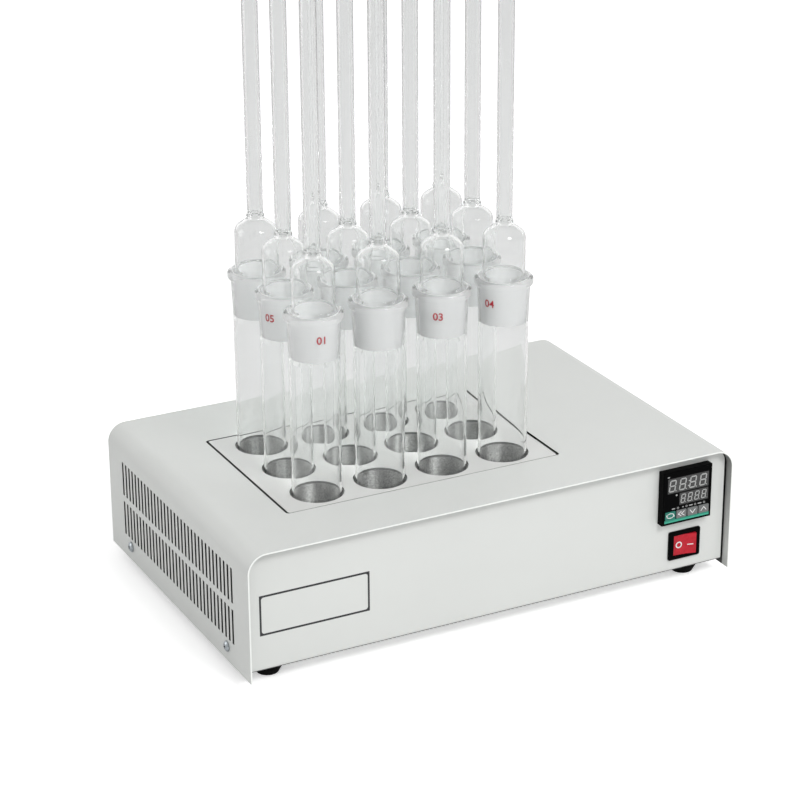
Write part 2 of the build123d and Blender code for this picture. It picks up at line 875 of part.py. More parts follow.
reaction_tube = make_reaction_tube()
condenser = make_condenser()
for number, (x, y) in enumerate(well_places(), start=1):
    save(f"reaction_tube_{number:02d}", Pos(x, y, tube_bottom) * reaction_tube)
    save(f"condenser_{number:02d}", Pos(x, y, socket_bottom) * condenser)

save("controller_bezel", make_controller_bezel())
save("controller_face", make_controller_face())
save("controller_housing", make_controller_housing())
save("controller_clip", make_controller_clip())
for name, x in zip(key_names, key_places()):
    save(name, make_key(x))

save("switch_frame", make_switch_frame())
save("switch_rocker", make_switch_rocker())
save("switch_terminals", make_switch_terminals())

save("power_inlet", make_power_inlet())
save("inlet_pins", make_inlet_pins())
save("inlet_screws", make_inlet_screws())

save("relay_heat_sink", make_relay_heat_sink())
save("relay", make_relay())
save("terminal_block", make_terminal_block())
save("terminal_screws", make_terminal_screws())
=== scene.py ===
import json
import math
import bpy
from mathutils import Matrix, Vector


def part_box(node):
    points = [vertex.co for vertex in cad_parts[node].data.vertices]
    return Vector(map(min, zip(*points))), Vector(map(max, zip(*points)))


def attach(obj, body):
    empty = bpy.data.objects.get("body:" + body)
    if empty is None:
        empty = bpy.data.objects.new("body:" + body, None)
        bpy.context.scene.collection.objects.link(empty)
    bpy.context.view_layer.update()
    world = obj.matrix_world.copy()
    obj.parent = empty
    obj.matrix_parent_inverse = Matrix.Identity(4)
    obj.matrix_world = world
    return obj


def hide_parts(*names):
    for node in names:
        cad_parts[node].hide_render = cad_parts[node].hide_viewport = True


bl_info = {
    "name": "Digestion reactor dressing",
    "version": (1, 0, 0),
    "blender": (4, 5, 0),
    "location": "3D View > Sidebar > Reactor",
    "description": "Glassware, artwork, screws and finishes of an oxygen demand reactor",
    "category": "Add Mesh",
}

import bmesh
import bpy
from bpy.props import FloatProperty, FloatVectorProperty, IntProperty, PointerProperty
from mathutils import Matrix, Vector

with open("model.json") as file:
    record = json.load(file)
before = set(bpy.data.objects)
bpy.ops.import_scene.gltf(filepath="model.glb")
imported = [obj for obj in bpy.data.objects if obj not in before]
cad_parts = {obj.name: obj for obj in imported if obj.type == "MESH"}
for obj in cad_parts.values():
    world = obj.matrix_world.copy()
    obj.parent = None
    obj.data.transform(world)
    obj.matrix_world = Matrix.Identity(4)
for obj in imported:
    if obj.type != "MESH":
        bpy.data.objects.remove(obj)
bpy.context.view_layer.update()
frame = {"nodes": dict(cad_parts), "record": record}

TUBES = range(1, 13)
JOINT_LENGTH = 0.038  # the ground stretch of a tube or a condenser
PRINT_FILM, MARK_FILM, SEGMENT_FILM = 0.00004, 0.00006, 0.00009
GLASS_BOUNCES = 48  # a ray crosses the walls of many tubes, and runs round inside their beads


# ---- Sizes and colours that a user would change ----

def colour(name, description, default):
    return FloatVectorProperty(
        name=name,
        description=description,
        default=default,
        subtype="COLOR",
        size=3,
        min=0.0,
        max=1.0,
    )


def setting(name, description, default, **kind):
    return FloatProperty(name=name, description=description, default=default, **kind)


def length(name, description, default):
    return setting(name, description, default, unit="LENGTH", precision=5)


def angle(name, description, degrees):
    return setting(name, description, math.radians(degrees), subtype="ANGLE")


def amount(name, description, default, largest=100.0):
    return setting(name, description, default, min=0.0, max=largest, subtype="UNSIGNED")


class CaseLook(bpy.types.PropertyGroup):
    """Paint of the folded case and the printed frame on its front."""

    paint: colour("Paint", "Pale powder coat of the cover and the chassis", (0.70, 0.715, 0.695))
    plate_paint: colour("Plate paint", "Powder coat of the well plate", (0.70, 0.705, 0.69))
    peel_size: length("Orange peel", "Width of the ripples in the powder coat", 0.0011)
    panel_inset: length("Label inset", "From the cover's left side to the label", 0.0122)
    panel_lift: length("Label lift", "From the bench to the label's lower line", 0.0437)
    panel_width: length("Label width", "Width of the blank printed label frame", 0.0957)
    panel_height: length("Label height", "Height of the blank printed label frame", 0.0348)
    panel_line: length("Label line", "Thickness of the printed line", 0.0017)
    print_ink: colour("Print", "Ink of the printed line", (0.022, 0.022, 0.025))
    bend: length("Bend", "Outer radius of the two bends of the cover", 0.016)
    sheet: length("Sheet", "Thickness of the cover and the chassis", 0.0012)


class GlassLook(bpy.types.PropertyGroup):
    """Shape details and tints of the reaction tubes and air condensers."""

    tint: colour("Glass tint", "Light left after one wall of clear glass", (0.975, 0.98, 0.978))
    tube_wall: length("Tube wall", "Wall of the reaction tubes below the joint", 0.0016)
    ground_tint: colour("Ground glass", "Milky white of the ground joints", (0.88, 0.885, 0.885))
    ground_roughness: amount("Ground roughness", "Scatter of the ground joints", 0.55, 1.0)
    facets: IntProperty(
        name="Facets", description="Segments round each turned piece", default=72, min=24
    )
    number_height: length("Number height", "Height of the numbers fired on the sockets", 0.0062)
    number_ink: colour("Number ink", "Fired red enamel", (0.42, 0.015, 0.03))


class ControlLook(bpy.types.PropertyGroup):
    """Artwork of the temperature controller and the rocker switch."""

    digit: colour("Segments", "Unlit segments of the numerals", (0.38, 0.385, 0.38))
    window: colour("Window", "Dark window behind the numerals", (0.040, 0.040, 0.040))
    band: colour("Band", "Green band below the keys", (0.006, 0.25, 0.165))
    stripe: colour("Stripe", "Lighter stripe along the band", (0.04, 0.42, 0.28))
    green_key: colour("Green key", "Set key", (0.004, 0.17, 0.125))
    grey_key: colour("Grey keys", "Shift, down and up keys", (0.15, 0.155, 0.155))
    mark: colour("Marks", "White print on keys and rocker", (0.80, 0.80, 0.80))
    rocker: colour("Rocker", "Translucent red of the rocker", (0.49, 0.012, 0.026))


class StudioLook(bpy.types.PropertyGroup):
    """Lamps, background and the photograph's viewpoint."""

    azimuth: angle("Azimuth", "Turn of the camera round from the front", -27.074)
    elevation: angle("Elevation", "Angle of the camera above the horizon", 22.472)
    roll: angle("Roll", "Turn of the camera about its own axis", -0.348)
    distance: length("Distance", "From the aim point to the camera", 2.1441)
    aim: FloatVectorProperty(
        name="Aim",
        description="Point in the middle of the picture",
        default=(-0.0156, 0.0, 0.1545),
        subtype="TRANSLATION",
        unit="LENGTH",
    )
    lens: amount("Lens", "Focal length in millimetres", 115.05, 500.0)
    sky: amount("Sky", "Strength of the even studio light", 0.66)
    key: amount("Key lamp", "Watts of the lamp at the front", 19.5)
    card: amount("Card", "Watts of the tall card at the left, seen in glass and metal", 2.0)


LOOKS = {
    "case_look": CaseLook,
    "glass_look": GlassLook,
    "control_look": ControlLook,
    "studio_look": StudioLook,
}


# ---- Finishes ----

FINISHES = {}


def socket(shader, name, value):
    shader.inputs[name].default_value = value


def new_material(name):
    material = bpy.data.materials.new(name)
    material.use_nodes = True
    shader = material.node_tree.nodes["Principled BSDF"]
    FINISHES[name] = material
    return material, material.node_tree, shader


def rgba(values, factor=1.0):
    return tuple(min(1.0, v * factor) for v in values) + (1.0,)


def position(tree, stretch):
    """Place on the object in metres, stretched along each axis."""
    place = tree.nodes.new("ShaderNodeTexCoord")
    scaled = tree.nodes.new("ShaderNodeMapping")
    scaled.inputs["Scale"].default_value = stretch
    tree.links.new(place.outputs["Object"], scaled.inputs["Vector"])
    return scaled.outputs["Vector"]


def noise(tree, where, scale, detail=3.0, roughness=0.55):
    texture = tree.nodes.new("ShaderNodeTexNoise")
    texture.inputs["Scale"].default_value = scale
    texture.inputs["Detail"].default_value = detail
    texture.inputs["Roughness"].default_value = roughness
    tree.links.new(where, texture.inputs["Vector"])
    return texture.outputs["Fac"]


def ramp(tree, value, low, high, start=0.3, end=0.7):
    """Value mapped onto a range of greys or colours."""
    steps = tree.nodes.new("ShaderNodeValToRGB")
    steps.color_ramp.elements[0].position = start
    steps.color_ramp.elements[1].position = end
    steps.color_ramp.elements[0].color = low
    steps.color_ramp.elements[1].color = high
    tree.links.new(value, steps.inputs["Fac"])
    return steps.outputs["Color"]


def grey(value):
    return (value, value, value, 1.0)


def bump(tree, shader, height, depth, strength=1.0):
    relief = tree.nodes.new("ShaderNodeBump")
    relief.inputs["Distance"].default_value = depth
    relief.inputs["Strength"].default_value = strength
    tree.links.new(height, relief.inputs["Height"])
    tree.links.new(relief.outputs["Normal"], shader.inputs["Normal"])


def math_node(tree, operation, first, second=0.0):
    """Two values put together; either may be a socket or a number."""
    node = tree.nodes.new("ShaderNodeMath")
    node.operation = operation
    for number, value in enumerate((first, second)):
        if isinstance(value, (int, float)):
            node.inputs[number].default_value = value
        else:
            tree.links.new(value, node.inputs[number])
    return node.outputs["Value"]


def place_parts(tree):
    """Distance from the middle across and along the depth, and height, in metres."""
    parts = tree.nodes.new("ShaderNodeSeparateXYZ")
    tree.links.new(position(tree, (1.0, 1.0, 1.0)), parts.inputs["Vector"])
    across = math_node(tree, "ABSOLUTE", parts.outputs["X"])
    along = math_node(tree, "ABSOLUTE", parts.outputs["Y"])
    return across, along, parts.outputs["Y"], parts.outputs["Z"]


def span_range(tree, value, low, high, at_low, at_high):
    """Factor that runs evenly while a value goes from low to high and stays level beyond."""
    span = tree.nodes.new("ShaderNodeMapRange")
    span.inputs["From Min"].default_value = low
    span.inputs["From Max"].default_value = high
    span.inputs["To Min"].default_value = at_low
    span.inputs["To Max"].default_value = at_high
    tree.links.new(value, span.inputs["Value"])
    return span.outputs["Result"]


def scaled_base(material, factor):
    """Make the base colour lighter or darker by a factor that varies over the piece."""
    tree = material.node_tree
    shader = tree.nodes["Principled BSDF"]
    shade = shader.inputs["Base Color"].links[0].from_socket
    scale = tree.nodes.new("ShaderNodeVectorMath")
    scale.operation = "SCALE"
    tree.links.new(shade, scale.inputs["Vector"])
    tree.links.new(factor, scale.inputs["Scale"])
    tree.links.new(scale.outputs["Vector"], shader.inputs["Base Color"])


def solid_finish(
    name,
    base,
    rough,
    metallic=0.0,
    mottle=0.06,
    mottle_size=0.03,
    rough_spread=0.06,
    grain_size=0.001,
    grain_depth=0.00002,
    stretch=(1.0, 1.0, 1.0),
    specular=0.5,
):
    """Colour and gloss that drift a little over the surface, with a fine relief."""
    material, tree, shader = new_material(name)
    plain = position(tree, (1.0, 1.0, 1.0))
    drawn = position(tree, stretch)
    broad = noise(tree, plain, 1.0 / mottle_size)
    fine = noise(tree, drawn, 1.0 / grain_size, 2.0)
    shade = ramp(tree, broad, rgba(base, 1.0 - mottle), rgba(base, 1.0 + mottle))
    tree.links.new(shade, shader.inputs["Base Color"])
    smoothest, roughest = max(0.02, rough - rough_spread), min(1.0, rough + rough_spread)
    gloss = ramp(tree, fine, grey(smoothest), grey(roughest))
    tree.links.new(gloss, shader.inputs["Roughness"])
    bump(tree, shader, fine, grain_depth)
    socket(shader, "Metallic", metallic)
    socket(shader, "Specular IOR Level", specular)
    return material


def glass_finish(name, tint, roughness, transmission, shadow):
    """Glass that lets a share of the lamps' light through, so that its shadow stays faint."""
    _, tree, shader = new_material(name)
    socket(shader, "Base Color", rgba(tint))
    socket(shader, "IOR", 1.47)
    socket(shader, "Transmission Weight", transmission)
    if roughness > 0.1:
        grain = noise(tree, position(tree, (1.0, 1.0, 1.0)), 1600.0, 2.0)
        gloss = ramp(tree, grain, grey(roughness - 0.08), grey(roughness + 0.08))
        tree.links.new(gloss, shader.inputs["Roughness"])
        bump(tree, shader, grain, 0.00003)
    else:
        waves = noise(tree, position(tree, (1.0, 1.0, 0.25)), 30.0, 1.0)
        socket(shader, "Roughness", roughness)
        bump(tree, shader, waves, 0.0001, 0.12)
    clear = tree.nodes.new("ShaderNodeBsdfTransparent")
    clear.inputs["Color"].default_value = rgba(tint, shadow)
    ray = tree.nodes.new("ShaderNodeLightPath")
    mix = tree.nodes.new("ShaderNodeMixShader")
    output = tree.nodes["Material Output"]
    tree.links.new(ray.outputs["Is Shadow Ray"], mix.inputs["Fac"])
    tree.links.new(shader.outputs["BSDF"], mix.inputs[1])
    tree.links.new(clear.outputs["BSDF"], mix.inputs[2])
    tree.links.new(mix.outputs["Shader"], output.inputs["Surface"])


def ink_finish(name, base, rough=0.45):
    """Thin printed or fired colour with a slightly uneven film."""
    film = dict(mottle=0.05, mottle_size=0.004, grain_size=0.0004, grain_depth=0.000004)
    return solid_finish(name, base, rough, rough_spread=0.05, **film)


def machined_finish(name, base):
    """Bored aluminium: fine rings round the wells, streaked darker by heat."""
    material, tree, shader = new_material(name)
    rings = position(tree, (1.0, 1.0, 16.0))
    streaks = position(tree, (1.0, 1.0, 0.08))
    tool = noise(tree, rings, 110.0, 4.0, 0.7)
    heat = noise(tree, streaks, 95.0, 4.0, 0.6)
    speckle = noise(tree, position(tree, (1.0, 1.0, 1.6)), 850.0, 3.0, 0.75)
    shade = ramp(tree, heat, rgba(base, 0.60), rgba(base, 1.30), 0.32, 0.68)
    tree.links.new(shade, shader.inputs["Base Color"])
    scaled_base(material, ramp(tree, speckle, grey(0.45), grey(1.40), 0.38, 0.62))
    gloss = ramp(tree, tool, grey(0.42), grey(0.56))
    tree.links.new(gloss, shader.inputs["Roughness"])
    bump(tree, shader, tool, 0.00004)
    upright = tree.nodes.new("ShaderNodeCombineXYZ")
    for axis, value in enumerate((0.02, 0.03, 1.0)):
        upright.inputs[axis].default_value = value
    tree.links.new(upright.outputs["Vector"], shader.inputs["Tangent"])
    socket(shader, "Anisotropic", 0.9)
    socket(shader, "Metallic", 1.0)


def case_coat(name, case):
    """Even powder coat of the folded sheets, with a faint orange peel."""
    return solid_finish(
        name, case.paint, 0.42, mottle=0.012, mottle_size=0.09, grain_size=case.peel_size
    )


def darker_where(tree, mask, share):
    """Factor that is 1 outside a mask and smaller by a share inside it."""
    return math_node(tree, "SUBTRACT", 1.0, math_node(tree, "MULTIPLY", mask, share))


def cover_finish(name, case):
    """Powder coat, with a painted highlight on the cut front edge and painted shade inside: darker
    towards the top, nearly black behind the front panel.
    """
    material = case_coat(name, case)
    tree = material.node_tree
    across, along, depth, height = place_parts(tree)
    low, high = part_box("cover")
    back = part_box("chassis")[1].y
    squares = []
    for value, start in ((across, high.x - case.bend), (height, high.z - case.bend)):
        past = math_node(tree, "MAXIMUM", math_node(tree, "SUBTRACT", value, start), 0.0)
        squares.append(math_node(tree, "POWER", past, 2.0))
    reach = math_node(tree, "SQRT", math_node(tree, "ADD", *squares))
    skin = 0.00015
    inner = math_node(tree, "LESS_THAN", reach, case.bend - skin)
    # Painted shade: the inside faces behind the front panel go almost black.
    deep = math_node(tree, "MULTIPLY", inner, math_node(tree, "LESS_THAN", along, back))
    edge = math_node(tree, "LESS_THAN", depth, low.y + skin)
    # Painted shade on the inside faces, darker towards the top.
    shade_by_height = span_range(tree, height, low.z + 0.020, high.z - 0.010, 0.85, 0.38)
    painted_inner_shade = darker_where(tree, inner, math_node(tree, "SUBTRACT", 1.0, shade_by_height))
    factor = math_node(tree, "MULTIPLY", painted_inner_shade, darker_where(tree, deep, 0.95))
    # Painted highlight: the cut front edge is painted 1.3 times as light as the coat.
    factor = math_node(tree, "MAXIMUM", factor, math_node(tree, "MULTIPLY", edge, 1.3))
    scaled_base(material, factor)


def chassis_finish(name, case):
    """Powder coat outside, painted shade on its inside faces."""
    material = case_coat(name, case)
    tree = material.node_tree
    _, along, _, height = place_parts(tree)
    low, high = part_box("chassis")
    within = math_node(tree, "LESS_THAN", along, high.y - case.sheet / 2)
    above = math_node(tree, "GREATER_THAN", height, low.z + case.sheet / 2)
    inner = math_node(tree, "MULTIPLY", within, above)
    # Painted shade: the inside faces are darkened almost to black.
    scaled_base(material, darker_where(tree, inner, 0.94))


def board_finish(name):
    """Pale fibre board, darkened towards its top as painted shade in the gap round the plate."""
    pale = (0.60, 0.57, 0.49)
    material = solid_finish(name, pale, 0.95, mottle=0.10, mottle_size=0.01, grain_depth=0.0002)
    tree = material.node_tree
    height = place_parts(tree)[3]
    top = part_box("insulation_jacket")[1].z
    # Painted shade: the board goes nearly black towards its top.
    scaled_base(material, span_range(tree, height, top - 0.090, top - 0.030, 1.0, 0.03))


def plate_finish(name, case):
    """Powder coat on the flat of the plate; its cut edges and hole walls are darkened as painted
    shade.
    """
    material = solid_finish(
        name, case.plate_paint, 0.45, mottle=0.02, mottle_size=0.05, grain_size=case.peel_size
    )
    tree = material.node_tree
    surface = tree.nodes.new("ShaderNodeNewGeometry")
    parts = tree.nodes.new("ShaderNodeSeparateXYZ")
    tree.links.new(surface.outputs["True Normal"], parts.inputs["Vector"])
    upright = math_node(tree, "LESS_THAN", math_node(tree, "ABSOLUTE", parts.outputs["Z"]), 0.5)
    # Painted shade: the upright faces of the plate are made much darker.
    scaled_base(material, darker_where(tree, upright, 0.88))


def shown_strength(tree, camera, gloss, glass):
    """Strength of the background seen straight, mirrored in glossy surfaces and through glass."""
    ray = tree.nodes.new("ShaderNodeLightPath")
    through = ray.outputs["Is Transmission Ray"]
    beside = math_node(tree, "SUBTRACT", 1.0, through)
    mirrored = math_node(tree, "MULTIPLY", ray.outputs["Is Glossy Ray"], beside)
    seen = math_node(tree, "MULTIPLY", ray.outputs["Is Camera Ray"], camera)
    seen = math_node(tree, "MAXIMUM", seen, math_node(tree, "MULTIPLY", mirrored, gloss))
    return math_node(tree, "MAXIMUM", seen, math_node(tree, "MULTIPLY", through, glass))


def make_finishes(scene):
    """Every finish of the record's slots, and the inks."""
    case, glass, control = scene.case_look, scene.glass_look, scene.control_look
    FINISHES.clear()
    cover_finish("cover_paint", case)
    chassis_finish("case_paint", case)
    plate_finish("plate_paint", case)
    machined_finish("block_metal", (0.54, 0.54, 0.53))
    rolled, drawn = (1.0, 20.0, 20.0), (0.05, 1.0, 1.0)
    solid_finish("heater_steel", (0.45, 0.44, 0.42), 0.38, 1.0, grain_size=0.0006, stretch=rolled)
    zinc = dict(mottle=0.15, mottle_size=0.012, grain_size=0.004)
    solid_finish("tray_steel", (0.30, 0.31, 0.32), 0.40, 1.0, **zinc)
    board_finish("insulation_board")
    glass_finish("clear_glass", glass.tint, 0.0, transmission=0.985, shadow=0.965)
    rough = glass.ground_roughness
    glass_finish("ground_glass", glass.ground_tint, rough, transmission=0.62, shadow=1.0)
    black = (0.002, 0.002, 0.0022)
    moulded = dict(grain_size=0.0006, grain_depth=0.00001)
    polished = dict(mottle_size=0.01, grain_depth=0.000002)
    frosted = dict(mottle=0.14, mottle_size=0.005, grain_depth=0.000004)
    solid_finish("controller_black", black, 0.42, grain_size=0.0005, specular=0.02)
    solid_finish("controller_face", black, 0.2, specular=0.02, **polished)
    solid_finish("key_green", control.green_key, 0.34, **moulded)
    solid_finish("key_grey", control.grey_key, 0.36, **moulded)
    solid_finish("switch_black", (0.002, 0.002, 0.002), 0.35, specular=0.02, **moulded)
    solid_finish("rocker_red", control.rocker, 0.22, specular=0.25, **frosted)
    solid_finish("terminal_brass", (0.72, 0.56, 0.26), 0.32, 1.0, mottle=0.1, mottle_size=0.004)
    plated = dict(metallic=1.0, mottle=0.10, grain_size=0.0004)
    solid_finish("screw_steel", (0.36, 0.39, 0.41), 0.16, mottle_size=0.003, **plated)
    # Painted shade in the cross recess of the screw heads.
    solid_finish("screw_recess_shade", (0.05, 0.055, 0.06), 0.40, mottle_size=0.002, **plated)
    rubber = dict(grain_size=0.0012, grain_depth=0.00008, specular=0.05)
    solid_finish("foot_rubber", (0.004, 0.004, 0.004), 0.68, **rubber)
    solid_finish("sink_aluminium", (0.66, 0.67, 0.68), 0.34, 1.0, grain_size=0.0008, stretch=drawn)
    solid_finish("relay_plastic", (0.62, 0.60, 0.54), 0.50, grain_size=0.0008)
    solid_finish("block_plastic", (0.03, 0.03, 0.03), 0.50, grain_size=0.0008)
    solid_finish("inlet_plastic", (0.02, 0.02, 0.02), 0.36, grain_size=0.0007)
    solid_finish("pin_metal", (0.68, 0.66, 0.60), 0.28, 1.0, grain_size=0.0006)
    ink_finish("label_ink", case.print_ink)
    ink_finish("number_ink", glass.number_ink, 0.35)
    ink_finish("segment_grey", control.digit, 0.35)
    ink_finish("window_grey", control.window, 0.20)
    ink_finish("band_green", control.band, 0.30)
    ink_finish("stripe_green", control.stripe, 0.30)
    ink_finish("mark_white", control.mark, 0.45)


# ---- Mesh helpers ----

def new_piece(name, bm, finishes, smooth_angle=35.0):
    """Object made of a finished mesh, its normals outwards."""
    bmesh.ops.recalc_face_normals(bm, faces=bm.faces)
    mesh = bpy.data.meshes.new(name)
    bm.to_mesh(mesh)
    bm.free()
    for finish in finishes:
        mesh.materials.append(FINISHES[finish])
    mesh.shade_smooth()
    mesh.set_sharp_from_angle(angle=math.radians(smooth_angle))
    piece = bpy.data.objects.new(name, mesh)
    bpy.context.scene.collection.objects.link(piece)
    return piece


def rounded_outline(corners, steps=6):
    """Radius, height and finish of each point of an outline whose corners are rounded.

    Each corner is (radius, height, rounding, finish of the stretch that leaves it).
    """
    points = []
    count = len(corners)
    for number, (radius, height, rounding, finish) in enumerate(corners):
        here = Vector((radius, height))
        before = Vector(corners[number - 1][:2])
        after = Vector(corners[(number + 1) % count][:2])
        if rounding <= 0.0:
            points.append((radius, height, finish))
            continue
        back = (before - here).normalized()
        on = (after - here).normalized()
        half = back.angle(on) / 2.0
        room = 0.49 * min((before - here).length, (after - here).length)
        reach = min(rounding / math.tan(half), room)
        start = here + back * reach
        end = here + on * reach
        arrives = corners[number - 1][3]
        for step in range(steps + 1):
            t = step / steps
            point = (1 - t) ** 2 * start + 2 * t * (1 - t) * here + t**2 * end
            points.append((point.x, point.y, arrives if t < 0.5 else finish))
    return points


def turned(bm, outline, facets):
    """Closed outline of (radius, height, finish) swept round the Z axis."""
    rings = []
    turns = [2 * math.pi * facet / facets for facet in range(facets)]
    for radius, height, _ in outline:
        if radius < 1e-6:
            places = [(0.0, 0.0, height)]
        else:
            places = [(radius * math.cos(turn), radius * math.sin(turn), height) for turn in turns]
        rings.append([bm.verts.new(place) for place in places])
    for number, ring in enumerate(rings):
        following = rings[(number + 1) % len(rings)]
        finish = outline[number][2]
        if len(ring) == 1 and len(following) == 1:
            continue
        for facet in range(facets):
            nxt = (facet + 1) % facets
            if len(ring) == 1:
                corners = [ring[0], following[nxt], following[facet]]
            elif len(following) == 1:
                corners = [ring[facet], ring[nxt], following[0]]
            else:
                corners = [ring[facet], ring[nxt], following[nxt], following[facet]]
            bm.faces.new(corners).material_index = finish


def slab(bm, points, depth, place):
    """Flat shape in X and Z given by its corners, thickened towards -Y and put in its place."""
    front = [bm.verts.new((x, -depth, z)) for x, z in points]
    back = [bm.verts.new((x, 0.0, z)) for x, z in points]
    bm.faces.new(front)
    bm.faces.new(list(reversed(back)))
    count = len(points)
    for number in range(count):
        nxt = (number + 1) % count
        bm.faces.new([front[number], back[number], back[nxt], front[nxt]])
    bmesh.ops.transform(bm, matrix=place, verts=front + back)


def ring_slab(bm, outer, inner, depth, place):
    """Flat ring between two outlines with as many corners, thickened and placed as a slab is."""
    loops = []
    for outline in (outer, inner):
        loops.append([bm.verts.new((x, -depth, z)) for x, z in outline])
        loops.append([bm.verts.new((x, 0.0, z)) for x, z in outline])
    outer_front, outer_back, inner_front, inner_back = loops
    section = [outer_front, inner_front, inner_back, outer_back]
    count = len(outer)
    for number in range(count):
        nxt = (number + 1) % count
        for first, second in zip(section, section[1:] + section[:1]):
            bm.faces.new([first[number], first[nxt], second[nxt], second[number]])
    bmesh.ops.transform(bm, matrix=place, verts=[vert for loop in loops for vert in loop])


def box_points(left, right, bottom, top):
    return [(left, bottom), (right, bottom), (right, top), (left, top)]


def rounded_box_points(left, right, bottom, top, radius, steps=6):
    """Corners of an upright box, each rounded in a few steps."""
    points = []
    for x, z, start in (
        (left + radius, bottom + radius, 180),
        (right - radius, bottom + radius, 270),
        (right - radius, top - radius, 0),
        (left + radius, top - radius, 90),
    ):
        for step in range(steps + 1):
            turn = math.radians(start + 90 * step / steps)
            points.append((x + radius * math.cos(turn), z + radius * math.sin(turn)))
    return points


def circle_points(x, z, radius, count=28):
    turns = [2 * math.pi * number / count for number in range(count)]
    return [(x + radius * math.cos(turn), z + radius * math.sin(turn)) for turn in turns]


def stroke_points(points, width):
    """Outline of a line of even width through a few points, mitred at its corners."""
    path = [Vector(p) for p in points]
    left, right = [], []
    for number, point in enumerate(path):
        before = path[max(number - 1, 0)]
        after = path[min(number + 1, len(path) - 1)]
        back = (point - before).normalized() if number else (after - point).normalized()
        on = (after - point).normalized() if number < len(path) - 1 else back
        along = (back + on).normalized()
        side = Vector((-along.y, along.x))
        share = max(0.3, side.dot(Vector((-on.y, on.x))))
        left.append(point + side * (width / 2 / share))
        right.append(point - side * (width / 2 / share))
    return [tuple(p) for p in left + right[::-1]]


def at(x, y, z):
    return Matrix.Translation((x, y, z))


def middle(node):
    low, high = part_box(node)
    return (low + high) / 2


# ---- Operators ----

class REACTOR_OT_finishes(bpy.types.Operator):
    """Make every finish and give each carried-over piece its own"""

    bl_idname = "reactor.finishes"
    bl_label = "Finishes"

    def execute(self, context):
        make_finishes(context.scene)
        for row in frame["record"]["subparts"]:
            finish = "cover_paint" if row["node"] == "cover" else row["material_slot"]
            for holder in frame["nodes"][row["node"]].material_slots:
                holder.material = FINISHES[finish]
        return {"FINISHED"}


